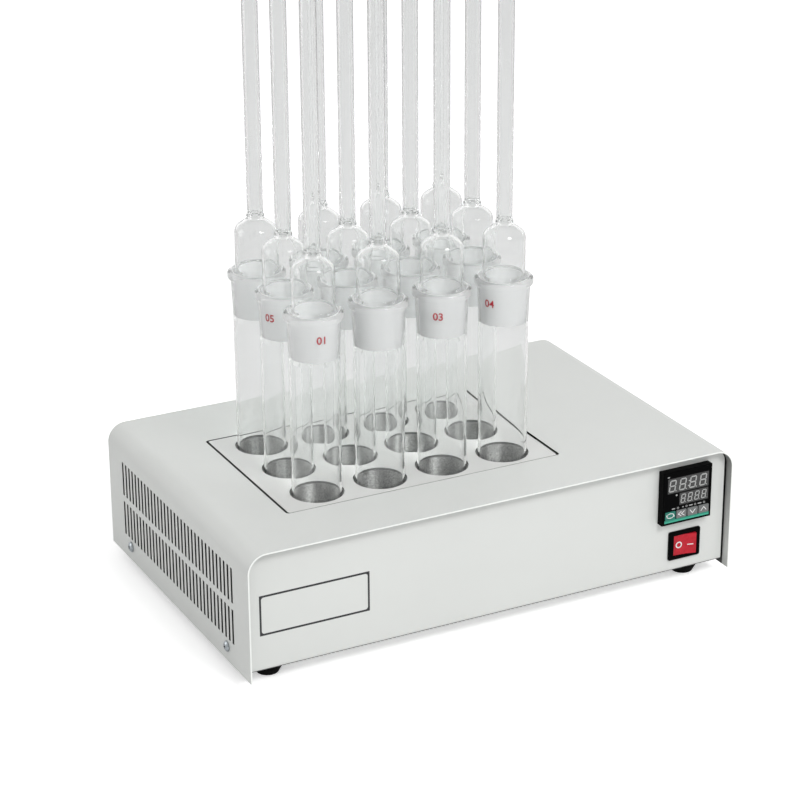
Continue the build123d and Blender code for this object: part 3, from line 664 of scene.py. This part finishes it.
class REACTOR_OT_stage(bpy.types.Operator):
    """Set up the pale floor, the studio light and the camera"""

    bl_idname = "reactor.stage"
    bl_label = "Stage"

    def execute(self, context):
        look = context.scene.studio_look
        self.camera(context, look)
        self.floor()
        self.world(context, look)
        self.lamps(look)
        return {"FINISHED"}

    def camera(self, context, look):
        level = math.cos(look.elevation)
        across, depth = math.sin(look.azimuth) * level, -math.cos(look.azimuth) * level
        back = Vector((across, depth, math.sin(look.elevation)))
        data = bpy.data.cameras.new("camera")
        data.lens = look.lens
        data.sensor_width = 36.0
        data.clip_start, data.clip_end = 0.1, 50.0
        camera = bpy.data.objects.new("camera", data)
        context.scene.collection.objects.link(camera)
        place = Matrix.Translation(Vector(look.aim) + back * look.distance)
        turn = (-back).to_track_quat("-Z", "Y").to_matrix().to_4x4()
        camera.matrix_world = place @ turn @ Matrix.Rotation(look.roll, 4, "Z")
        context.scene.camera = camera
        context.scene.view_settings.view_transform = "Standard"
        cycles = context.scene.cycles
        cycles.max_bounces = GLASS_BOUNCES
        cycles.glossy_bounces = GLASS_BOUNCES
        cycles.transmission_bounces = GLASS_BOUNCES
        cycles.transparent_max_bounces = GLASS_BOUNCES

    def floor(self):
        """Pale floor that keeps the object's shadow and is lifted to white for the camera."""
        bm = bmesh.new()
        bmesh.ops.create_grid(bm, x_segments=8, y_segments=8, size=7.0)
        _, tree, shader = new_material("studio_floor")
        where = position(tree, (1.0, 1.0, 1.0))
        shade = ramp(tree, noise(tree, where, 3.0), grey(0.90), grey(0.92))
        tree.links.new(shade, shader.inputs["Base Color"])
        socket(shader, "Roughness", 0.9)
        glow = tree.nodes.new("ShaderNodeEmission")
        glow.inputs["Color"].default_value = grey(1.0)
        lift = shown_strength(tree, camera=0.46, gloss=0.12, glass=0.0)
        tree.links.new(lift, glow.inputs["Strength"])
        both = tree.nodes.new("ShaderNodeAddShader")
        tree.links.new(shader.outputs["BSDF"], both.inputs[0])
        tree.links.new(glow.outputs["Emission"], both.inputs[1])
        tree.links.new(both.outputs["Shader"], tree.nodes["Material Output"].inputs["Surface"])
        floor = new_piece("studio_floor", bm, ["studio_floor"])
        floor.location.z = -0.0002

    def world(self, context, look):
        """Even light, shown white to the camera and shaded front to back in glass and gloss."""
        world = bpy.data.worlds.new("studio")
        context.scene.world = world
        world.use_nodes = True
        tree = world.node_tree
        light = tree.nodes["Background"]
        light.inputs["Color"].default_value = grey(1.0)
        light.inputs["Strength"].default_value = look.sky
        seen = shown_strength(tree, camera=1.0, gloss=1.0, glass=1.0)
        shown = tree.nodes.new("ShaderNodeBackground")
        tree.links.new(seen, shown.inputs["Strength"])
        mix = tree.nodes.new("ShaderNodeMixShader")
        tree.links.new(seen, mix.inputs["Fac"])
        tree.links.new(light.outputs["Background"], mix.inputs[1])
        tree.links.new(shown.outputs["Background"], mix.inputs[2])
        tree.links.new(mix.outputs["Shader"], tree.nodes["World Output"].inputs["Surface"])
        place = tree.nodes.new("ShaderNodeTexCoord")
        parts = tree.nodes.new("ShaderNodeSeparateXYZ")
        tree.links.new(place.outputs["Generated"], parts.inputs["Vector"])
        depth = span_range(tree, parts.outputs["Y"], -1.0, 1.0, 0.0, 1.0)
        shade = ramp(tree, depth, grey(0.6), grey(1.0), 0.1, 0.6)
        ray = tree.nodes.new("ShaderNodeLightPath")
        shade = math_node(tree, "MAXIMUM", shade, ray.outputs["Is Camera Ray"])
        tree.links.new(shade, shown.inputs["Color"])

    def lamps(self, look):
        self.lamp("key_lamp", (0.25, -1.60, 1.65), 0.6, 0.6, look.key)
        card = self.lamp("left_card", (-0.95, 0.45, 0.45), 0.5, 0.9, look.card)
        card.visible_diffuse = False
        card.visible_camera = False

    def lamp(self, name, place, width, height, watts):
        data = bpy.data.lights.new(name, "AREA")
        data.shape = "RECTANGLE"
        data.size, data.size_y = width, height
        data.energy = watts
        lamp = bpy.data.objects.new(name, data)
        bpy.context.scene.collection.objects.link(lamp)
        lamp.location = place
        lamp.rotation_mode = "QUATERNION"
        aim = Vector((0.0, 0.0, 0.15)) - Vector(place)
        lamp.rotation_quaternion = aim.to_track_quat("-Z", "Y")
        return lamp


class REACTOR_OT_label(bpy.types.Operator):
    """Print the blank label frame on the front panel"""

    bl_idname = "reactor.label"
    bl_label = "Label frame"

    def execute(self, context):
        look = context.scene.case_look
        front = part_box("chassis")[0].y
        left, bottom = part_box("cover")[0].x + look.panel_inset, look.panel_lift
        right, top = left + look.panel_width, bottom + look.panel_height
        line = look.panel_line
        sharp, soft = 0.0002, 0.0022
        outer = rounded_box_points(left, right, bottom, top, sharp)
        inner = rounded_box_points(left + line, right - line, bottom + line, top - line, soft)
        bm = bmesh.new()
        ring_slab(bm, outer, inner, PRINT_FILM, at(0, front, 0))
        label = new_piece("label_frame", bm, ["label_ink"])
        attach(label, "root")
        return {"FINISHED"}


def twelve_glasses(context, kind, body, corners):
    """Turn one piece of glass and set a copy of it in each of the twelve places."""
    bm = bmesh.new()
    turned(bm, rounded_outline(corners), context.scene.glass_look.facets)
    first = new_piece(f"{kind}_glass_01", bm, ["clear_glass", "ground_glass"], 60.0)
    for number in TUBES:
        node = f"{kind}_{number:02d}"
        piece = first
        if number > 1:
            piece = bpy.data.objects.new(f"{kind}_glass_{number:02d}", first.data)
            context.scene.collection.objects.link(piece)
        place = middle(node)
        piece.location = (place.x, place.y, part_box(node)[0].z)
        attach(piece, f"{body}_{number:02d}")
        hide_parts(node)


class REACTOR_OT_reaction_tubes(bpy.types.Operator):
    """Turn the twelve reaction tubes, clear below and ground at the socket"""

    bl_idname = "reactor.reaction_tubes"
    bl_label = "Reaction tubes"

    def execute(self, context):
        low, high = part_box("reaction_tube_01")
        mouth = high.z - low.z
        throat = mouth - JOINT_LENGTH
        wall = context.scene.glass_look.tube_wall
        tube, bead_foot, bead = 0.0205, 0.0217, 0.0243
        socket_foot, socket_mouth = 0.0181, 0.0203
        clear, ground = 0, 1
        twelve_glasses(context, "reaction_tube", "tube", [
            (0.0, 0.0, 0.0, clear),
            (tube, 0.0, 0.013, clear),
            (tube, throat, 0.012, clear),
            (bead_foot, mouth - 0.0070, 0.0012, clear),
            (bead, mouth - 0.0058, 0.0022, clear),
            (bead, mouth - 0.0010, 0.0020, clear),
            (0.0216, mouth, 0.0016, clear),
            (socket_mouth, mouth, 0.0008, ground),
            (socket_foot, throat, 0.0010, clear),
            (tube - wall, throat - 0.0040, 0.0040, clear),
            (tube - wall, wall, 0.0114, clear),
            (0.0, wall, 0.0, clear),
        ])
        return {"FINISHED"}


class REACTOR_OT_condensers(bpy.types.Operator):
    """Turn the twelve air condensers: ground cone, bell, domed shoulder and straight tube"""

    bl_idname = "reactor.condensers"
    bl_label = "Air condensers"

    def execute(self, context):
        low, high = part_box("condenser_01")
        tip = high.z - low.z
        bell_top, neck = 0.0750, 0.0828
        cone_bore, cone_foot, cone_top = 0.0160, 0.0180, 0.0199
        bell, bell_bore = 0.0175, 0.0157
        air, air_bore = 0.0065, 0.0051
        clear, ground = 0, 1
        twelve_glasses(context, "condenser", "condenser", [
            (cone_bore, 0.0, 0.0006, clear),
            (cone_foot, 0.0, 0.0006, ground),
            (cone_top, JOINT_LENGTH, 0.0006, clear),
            (bell, JOINT_LENGTH + 0.0025, 0.0020, clear),
            (bell, bell_top, 0.0088, clear),
            (0.0069, neck - 0.0002, 0.0018, clear),
            (0.0075, neck + 0.0018, 0.0012, clear),
            (air, neck + 0.0040, 0.0030, clear),
            (air, tip, 0.0004, clear),
            (air_bore, tip, 0.0004, clear),
            (air_bore, neck + 0.0060, 0.0050, clear),
            (0.0039, neck + 0.0022, 0.0014, clear),
            (0.0043, neck - 0.0006, 0.0010, clear),
            (bell_bore, bell_top - 0.0009, 0.0070, clear),
            (bell_bore, JOINT_LENGTH, 0.0030, clear),
        ])
        return {"FINISHED"}


class REACTOR_OT_tube_numbers(bpy.types.Operator):
    """Fire a red position number on each socket"""

    bl_idname = "reactor.tube_numbers"
    bl_label = "Tube numbers"

    bearings = (-8, 118, -36, -62, -60, 140, 95, 170, 160, 75, -150, 100)

    def execute(self, context):
        for number in TUBES:
            node = f"reaction_tube_{number:02d}"
            bm = self.flat_number(context, f"{number:02d}")
            self.wrap(bm, middle(node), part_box(node)[1].z, math.radians(self.bearings[number - 1]))
            piece = new_piece(f"tube_number_{number:02d}", bm, ["number_ink"])
            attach(piece, f"tube_{number:02d}")
        return {"FINISHED"}

    def flat_number(self, context, digits):
        """Flat mesh of two digits, cut finely enough to bend."""
        height = context.scene.glass_look.number_height
        text = bpy.data.curves.new("number", "FONT")
        text.body = digits
        text.size = height / 0.7
        text.align_x, text.align_y = "CENTER", "CENTER"
        text.extrude = 0.00003
        text.resolution_u = 6
        text.offset = height * 0.02
        holder = bpy.data.objects.new("number", text)
        context.scene.collection.objects.link(holder)
        mesh = bpy.data.meshes.new_from_object(holder)
        bpy.data.objects.remove(holder)
        bm = bmesh.new()
        bm.from_mesh(mesh)
        bpy.data.meshes.remove(mesh)
        long_edges = [edge for edge in bm.edges if edge.calc_length() > 0.0008]
        bmesh.ops.subdivide_edges(bm, edges=long_edges, cuts=3, use_grid_fill=False)
        bmesh.ops.triangulate(bm, faces=bm.faces)
        return bm

    def wrap(self, bm, place, mouth, bearing):
        """Bend a flat number round the tapered socket below a tube's mouth."""
        socket_foot, taper = 0.02062, 0.0352
        middle_height = mouth - 0.0185
        for vert in bm.verts:
            across, up, lift = vert.co
            height = middle_height + up
            radius = socket_foot + (height - (mouth - JOINT_LENGTH)) * taper + lift + 0.00003
            turn = bearing + across / radius
            x, y = place.x + radius * math.sin(turn), place.y - radius * math.cos(turn)
            vert.co = (x, y, height)


class REACTOR_OT_controller_face(bpy.types.Operator):
    """Lay the numerals, windows, lamps and green band on the controller's face"""

    bl_idname = "reactor.controller_face"
    bl_label = "Controller face"

    def execute(self, context):
        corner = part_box("controller_bezel")[0]
        self.left, self.bottom = corner.x, corner.z
        self.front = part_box("controller_face")[0].y
        self.windows()
        self.numerals()
        self.lamps()
        self.band()
        return {"FINISHED"}

    lean = 0.14
    window_end = 0.0446

    def place(self, lift=0.0):
        """Places on the face are measured from the bezel's lower left corner."""
        return at(self.left, self.front - lift, self.bottom)

    def windows(self):
        bm = bmesh.new()
        for start, bottom, top in ((0.0045, 0.0287, 0.0421), (0.0163, 0.0168, 0.0274)):
            slab(bm, box_points(start, self.window_end, bottom, top), PRINT_FILM, self.place())
        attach(new_piece("display_windows", bm, ["window_grey"]), "root")

    def numerals(self):
        """Two rows of four eights, and the colon of the upper row."""
        upper = dict(z=0.0300, width=0.0065, height=0.0107, bar=0.00112)
        lower = dict(z=0.0181, width=0.0044, height=0.0080, bar=0.00080)
        bm = bmesh.new()
        for start, pitch, size in ((0.0051, 0.0100, upper), (0.0172, 0.0068, lower)):
            for number in range(4):
                self.numeral(bm, start + number * pitch, **size)
        for z in (0.0328, 0.0372):
            x = 0.0244 + (z - upper["z"]) * self.lean
            dot = box_points(x - 0.0006, x + 0.0006, z - 0.0005, z + 0.0005)
            slab(bm, dot, SEGMENT_FILM, self.place())
        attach(new_piece("display_numerals", bm, ["segment_grey"]), "root")

    def numeral(self, bm, x, z, width, height, bar):
        """Seven slanted bars of an eight, and its point."""
        half = bar / 2
        gap = bar * 0.12

        def pointed(start, end, line, across):
            """Six corners of a bar, by their places along and across it."""
            near, far = start + half, end - half
            one, two = line + across, line - across
            return [(start, line), (near, one), (far, one), (end, line), (far, two), (near, two)]

        def lay(points):
            leaned = [(x + px + pz * self.lean, z + pz) for px, pz in points]
            slab(bm, leaned, SEGMENT_FILM, self.place())

        for level in (0.0, 0.5, 1.0):
            up = half + level * (height - bar)
            lay(pointed(half + gap, width - half - gap, up, -half))
        for side in (half, width - half):
            for level in (0.0, 0.5):
                start = half + level * (height - bar) + gap
                end = half + (level + 0.5) * (height - bar) - gap
                lay((px, pz) for pz, px in pointed(start, end, side, half))
        dot = circle_points(x + width + bar * 0.75, z + half, half * 0.95, 16)
        slab(bm, dot, SEGMENT_FILM, self.place())

    def lamps(self):
        """Row of printed bars and ringed lamps, a mark above and a dot beside the numerals."""
        bm = bmesh.new()
        row = 0.0142
        for start, end in ((0.0091, 0.0122), (0.0194, 0.0207), (0.0260, 0.0296), (0.0346, 0.0382)):
            slab(bm, box_points(start, end, row - 0.0005, row + 0.0005), MARK_FILM, self.place())
        for x in (0.0151, 0.0236, 0.0320, 0.0409):
            outer, inner = circle_points(x, row, 0.00095), circle_points(x, row, 0.00060)
            ring_slab(bm, outer, inner, MARK_FILM, self.place())
        slab(bm, box_points(0.0038, 0.0060, 0.0434, 0.0442), MARK_FILM, self.place())
        slab(bm, circle_points(0.0133, 0.0262, 0.00085), MARK_FILM, self.place())
        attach(new_piece("display_marks", bm, ["segment_grey"]), "root")

    def band(self):
        """Green band below the keys, a lighter stripe along its foot."""
        start, end = 0.0020, 0.0460
        band_film, stripe_film = 0.00005, 0.00003
        bm = bmesh.new()
        slab(bm, box_points(start, end, 0.0019, 0.0047), band_film, self.place())
        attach(new_piece("display_band", bm, ["band_green"]), "root")
        bm = bmesh.new()
        slab(bm, box_points(start, end, 0.0023, 0.0033), stripe_film, self.place(band_film))
        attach(new_piece("display_stripe", bm, ["stripe_green"]), "root")


class REACTOR_OT_key_marks(bpy.types.Operator):
    """Print a symbol on each key"""

    bl_idname = "reactor.key_marks"
    bl_label = "Key marks"

    line = 0.0006

    def execute(self, context):
        reach, rise = 0.0027, 0.0016
        marks = {
            "set_key": self.loop(),
            "shift_key": [
                self.stroke([(-0.0002, 0.0021), (-0.0031, 0.0), (-0.0002, -0.0021)]),
                self.stroke([(0.0029, 0.0021), (0.0000, 0.0), (0.0029, -0.0021)]),
            ],
            "down_key": [self.stroke([(-reach, rise), (0.0, -rise), (reach, rise)])],
            "up_key": [self.stroke([(-reach, -rise), (0.0, rise), (reach, -rise)])],
        }
        for key, outlines in marks.items():
            centre, front = middle(key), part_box(key)[0].y
            bm = bmesh.new()
            for outline in outlines:
                slab(bm, outline, PRINT_FILM, at(centre.x, front, centre.z))
            piece = new_piece(f"{key}_mark", bm, ["mark_white"])
            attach(piece, key)
        return {"FINISHED"}

    def stroke(self, points):
        return stroke_points(points, self.line)

    def loop(self):
        """Two flat arcs that chase each other, each with an arrow head."""
        shapes = []
        width, height, head = 0.0036, 0.0020, 0.0013
        for sign in (1, -1):
            arc = []
            for step in range(11):
                turn = math.radians(12 + step * 14)
                arc.append((sign * width * math.cos(turn), sign * height * math.sin(turn)))
            shapes.append(self.stroke(arc))
            x, z = arc[-1]
            tip = (x + sign * head, z + sign * head * 0.5)
            shapes.append([(x - sign * head, z), tip, (x, z - sign * head)])
        return shapes


class REACTOR_OT_rocker_marks(bpy.types.Operator):
    """Print the ring and the bar on the two halves of the rocker"""

    bl_idname = "reactor.rocker_marks"
    bl_label = "Rocker marks"

    def execute(self, context):
        joints = {joint["name"]: joint for joint in frame["record"]["behaviour"]["joints"]}
        pivot = Vector(joints["rocker_tip"]["pos_m"])
        tilt = math.radians(-9.0)
        rise, dip, half = 0.0022, 0.0010, 0.0105
        bm = bmesh.new()
        for side in (-1, 1):
            slope = math.atan2(-side * dip, half)
            face = (
                Matrix.Translation(pivot)
                @ Matrix.Rotation(tilt, 4, "Z")
                @ Matrix.Translation((side * half / 2, dip / 2 - rise, 0.0))
                @ Matrix.Rotation(slope, 4, "Z")
            )
            if side < 0:
                outer = circle_points(0.0, 0.0, 0.0030, 40)
                inner = circle_points(0.0, 0.0, 0.0020, 40)
                ring_slab(bm, outer, inner, MARK_FILM, face)
            else:
                slab(bm, box_points(-0.0027, 0.0027, -0.00120, -0.00038), MARK_FILM, face)
        marks = new_piece("rocker_marks", bm, ["mark_white"])
        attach(marks, "rocker")
        return {"FINISHED"}


class REACTOR_OT_cover_screws(bpy.types.Operator):
    """Turn the cover's pan-head screws and sink a cross in each head"""

    bl_idname = "reactor.cover_screws"
    bl_label = "Cover screws"

    def execute(self, context):
        low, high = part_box("cover_screws")
        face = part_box("cover")[1].x
        head = (high.z - low.z) / 2
        rise = high.x - face
        bm = bmesh.new()
        for side in (-1, 1):
            for y, turn in ((low.y + head, 23.0), (high.y - head, 61.0)):
                place = (
                    Matrix.Translation((side * face, y, (low.z + high.z) / 2))
                    @ Matrix.Rotation(side * math.pi / 2, 4, "Y")
                    @ Matrix.Rotation(math.radians(turn), 4, "Z")
                )
                screw = self.crossed_head(head, rise)
                screw.transform(place)
                bm.from_mesh(screw)
        screws = new_piece("cover_screw_heads", bm, ["screw_steel", "screw_recess_shade"], 40.0)
        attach(screws, "root")
        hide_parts("cover_screws")
        return {"FINISHED"}

    def crossed_head(self, head, rise):
        """Mesh of a pan head on its shank, the cross cut in and given a dark finish as painted
        shade.
        """
        holder = self.holder("screw_body", self.turned_head(head, rise))
        cutter = self.holder("screw_cross", self.cross(rise))
        cut = holder.modifiers.new("cross", "BOOLEAN")
        cut.object = cutter
        cut.operation = "DIFFERENCE"
        cut.solver = "EXACT"
        cut.use_self = True
        bpy.context.view_layer.update()
        cut_holder = holder.evaluated_get(bpy.context.evaluated_depsgraph_get())
        mesh = bpy.data.meshes.new_from_object(cut_holder)
        for polygon in mesh.polygons:
            centre = polygon.center
            # Faces sunk in the cross get the dark finish: painted shade.
            sunk = rise - centre.z > 0.00035 and centre.z > 0.0002
            if sunk and centre.xy.length < head * 0.6:
                polygon.material_index = 1
        bpy.data.objects.remove(holder)
        bpy.data.objects.remove(cutter)
        return mesh

    def holder(self, name, bm):
        """Short-lived object that carries a mesh through the cut."""
        mesh = bpy.data.meshes.new(name)
        bm.to_mesh(mesh)
        bm.free()
        holder = bpy.data.objects.new(name, mesh)
        bpy.context.scene.collection.objects.link(holder)
        return holder

    def turned_head(self, head, rise):
        shank, depth = 0.0020, -0.009
        bm = bmesh.new()
        corners = [
            (0.0, depth, 0.0, 0),
            (shank, depth, 0.0005, 0),
            (shank, 0.0, 0.0, 0),
            (head, 0.0, 0.0002, 0),
            (head, rise * 0.45, 0.0012, 0),
            (head * 0.6, rise, 0.0030, 0),
            (0.0, rise, 0.0, 0),
        ]
        turned(bm, rounded_outline(corners), 40)
        bmesh.ops.recalc_face_normals(bm, faces=bm.faces)
        return bm

    def cross(self, rise):
        """Two crossed bars, narrower at their foot, that reach 1.3 mm into the head."""
        long, narrow, tall, depth = 0.0050, 0.0011, 0.0030, 0.0013
        bm = bmesh.new()
        for size_x, size_y in ((long, narrow), (narrow, long)):
            verts = bmesh.ops.create_cube(bm, size=1.0)["verts"]
            bmesh.ops.scale(bm, vec=(size_x, size_y, tall), verts=verts)
            bmesh.ops.translate(bm, vec=(0, 0, rise + tall / 2 - depth), verts=verts)
            for vert in verts:
                if vert.co.z < rise:
                    vert.co.x *= 0.45 if size_x > size_y else 0.9
                    vert.co.y *= 0.45 if size_y > size_x else 0.9
        return bm


OPERATORS = (
    REACTOR_OT_finishes,
    REACTOR_OT_stage,
    REACTOR_OT_label,
    REACTOR_OT_reaction_tubes,
    REACTOR_OT_condensers,
    REACTOR_OT_tube_numbers,
    REACTOR_OT_controller_face,
    REACTOR_OT_key_marks,
    REACTOR_OT_rocker_marks,
    REACTOR_OT_cover_screws,
)


class REACTOR_PT_pieces(bpy.types.Panel):
    """Lists the pieces and their sizes and colours"""

    bl_idname = "REACTOR_PT_pieces"
    bl_label = "Reactor"
    bl_space_type = "VIEW_3D"
    bl_region_type = "UI"
    bl_category = "Reactor"

    def draw(self, context):
        for piece in OPERATORS:
            self.layout.operator(piece.bl_idname)
        for look, kind in LOOKS.items():
            box = self.layout.box()
            for name in kind.__annotations__:
                box.prop(getattr(context.scene, look), name)


CLASSES = (*LOOKS.values(), *OPERATORS, REACTOR_PT_pieces)


def register():
    for kind in CLASSES:
        bpy.utils.register_class(kind)
    for name, kind in LOOKS.items():
        setattr(bpy.types.Scene, name, PointerProperty(type=kind))


def unregister():
    for name in LOOKS:
        delattr(bpy.types.Scene, name)
    for kind in reversed(CLASSES):
        bpy.utils.unregister_class(kind)


def main():
    register()
    for piece in OPERATORS:
        getattr(bpy.ops.reactor, piece.bl_idname.split(".")[1])()


if __name__ == "__main__":
    main()
